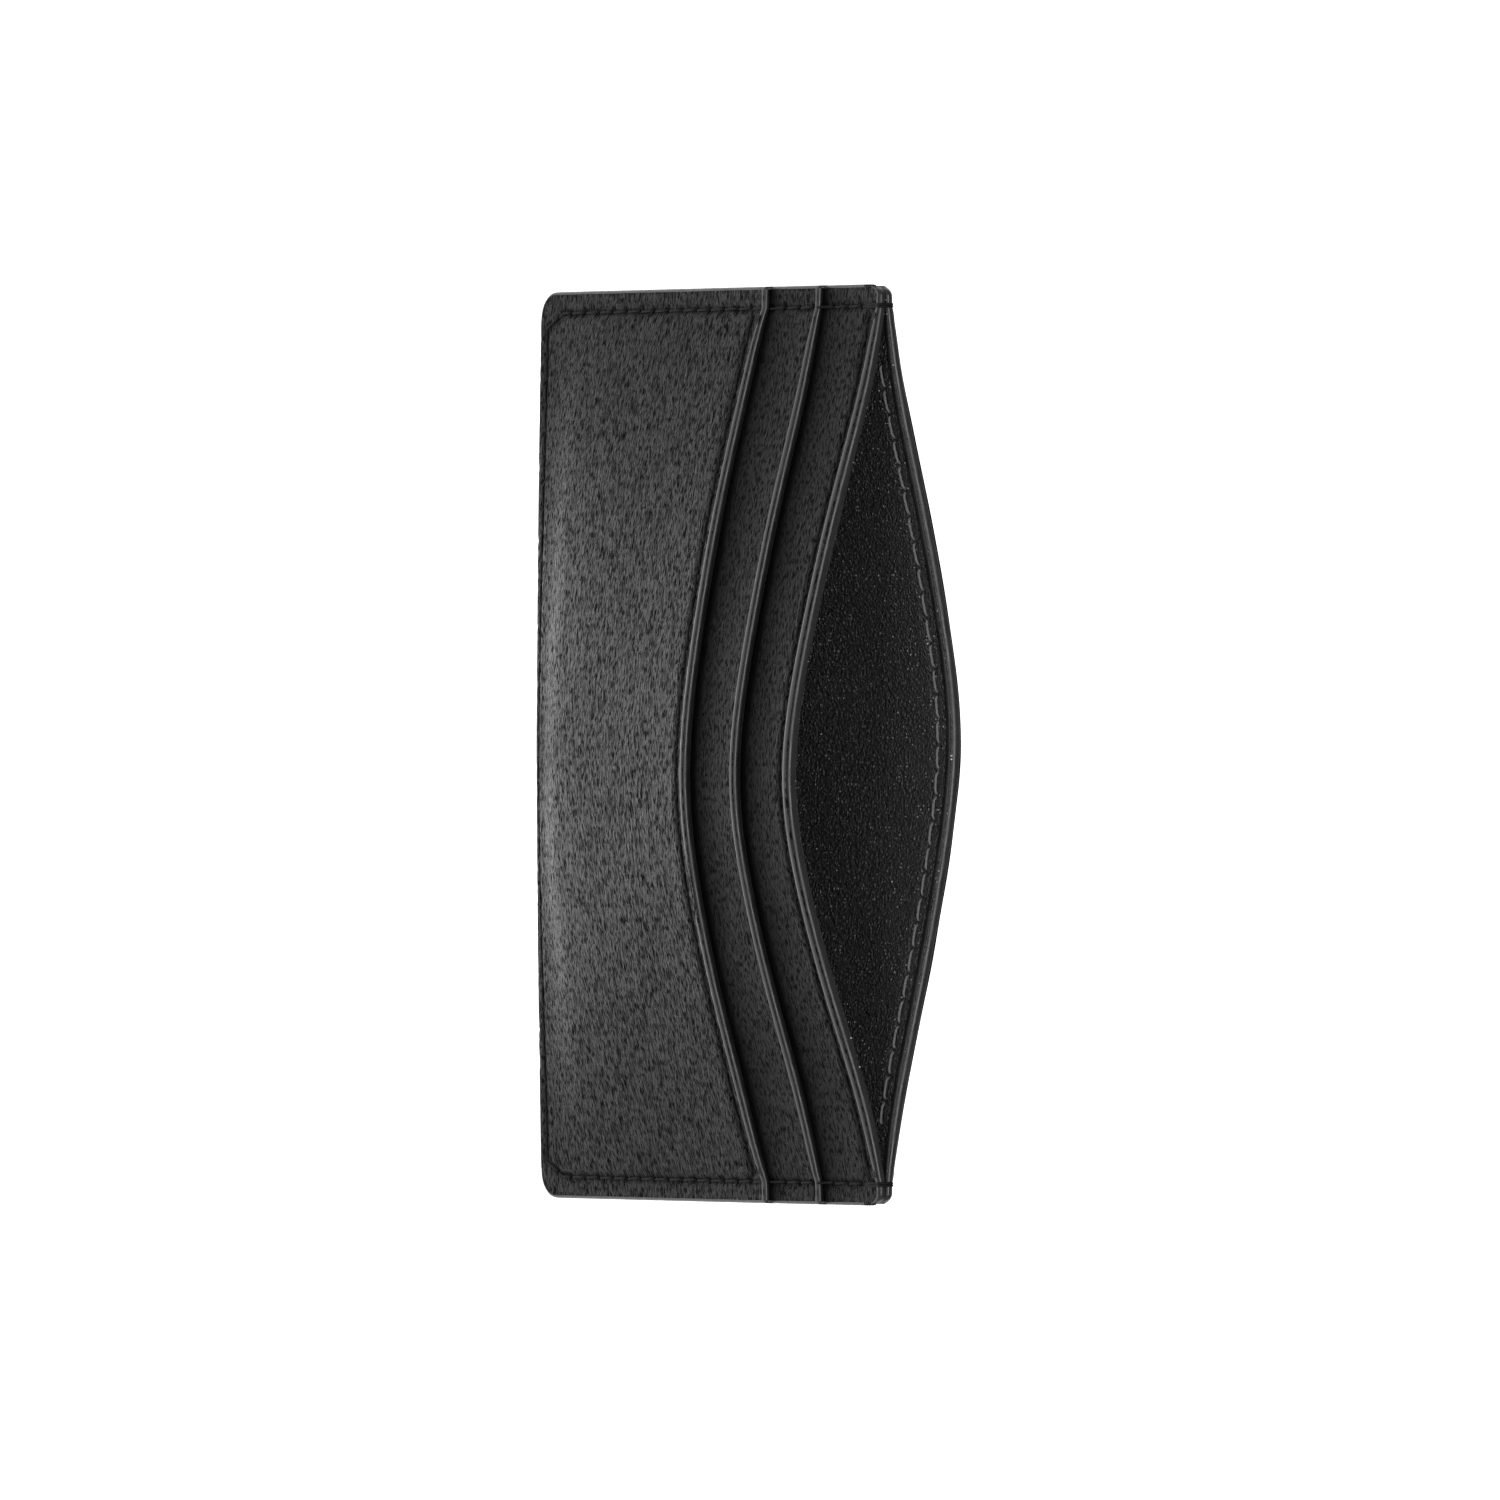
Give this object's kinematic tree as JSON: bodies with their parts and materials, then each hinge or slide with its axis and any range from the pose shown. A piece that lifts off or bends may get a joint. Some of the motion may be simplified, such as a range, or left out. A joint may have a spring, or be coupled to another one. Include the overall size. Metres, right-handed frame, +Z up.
{
  "type": "card holder",
  "caption": "Slim black leather card holder with two front card pockets and a bowed-open centre pocket, stitched round three sides.",
  "frame": {"origin": "middle of the flat bottom edge, on the plane where the front and back walls meet", "axes": "+X along the width, -Y out of the front with the card pockets, +Z up to the open mouth"},
  "size_m": [0.1, 0.0223, 0.0656],
  "materials": {
    "grained_leather": "black pebbled grain, semi-matt",
    "smooth_lining": "black fine-grain leather, semi-matt",
    "pocket_cloth": "thin black woven cloth",
    "edge_paint": "black edge paint, satin, rounded",
    "black_thread": "black waxed polyester thread",
    "grey_thread": "grey polyester bobbin thread"
  },
  "bodies": {
    "root": {"lower_pocket_leather": "grained_leather", "lower_pocket_lining": "pocket_cloth", "upper_pocket_leather": "grained_leather", "upper_pocket_lining": "pocket_cloth", "front_wall_leather": "grained_leather", "front_wall_lining": "smooth_lining", "back_wall_lining": "smooth_lining", "back_wall_leather": "grained_leather", "seam_edge_paint": "edge_paint", "lower_pocket_lip_paint": "edge_paint", "upper_pocket_lip_paint": "edge_paint", "front_wall_lip_paint": "edge_paint", "back_wall_lip_paint": "edge_paint", "lower_pocket_lip_stitching": "black_thread", "front_wall_lip_stitching_outside": "black_thread", "front_wall_lip_stitching_inside": "grey_thread", "back_wall_lip_stitching_inside": "grey_thread", "back_wall_lip_stitching_outside": "black_thread", "seam_stitching_front": "black_thread", "seam_stitching_back": "black_thread", "mouth_tack_left": "black_thread", "mouth_tack_right": "black_thread"}
  },
  "joints": []
}
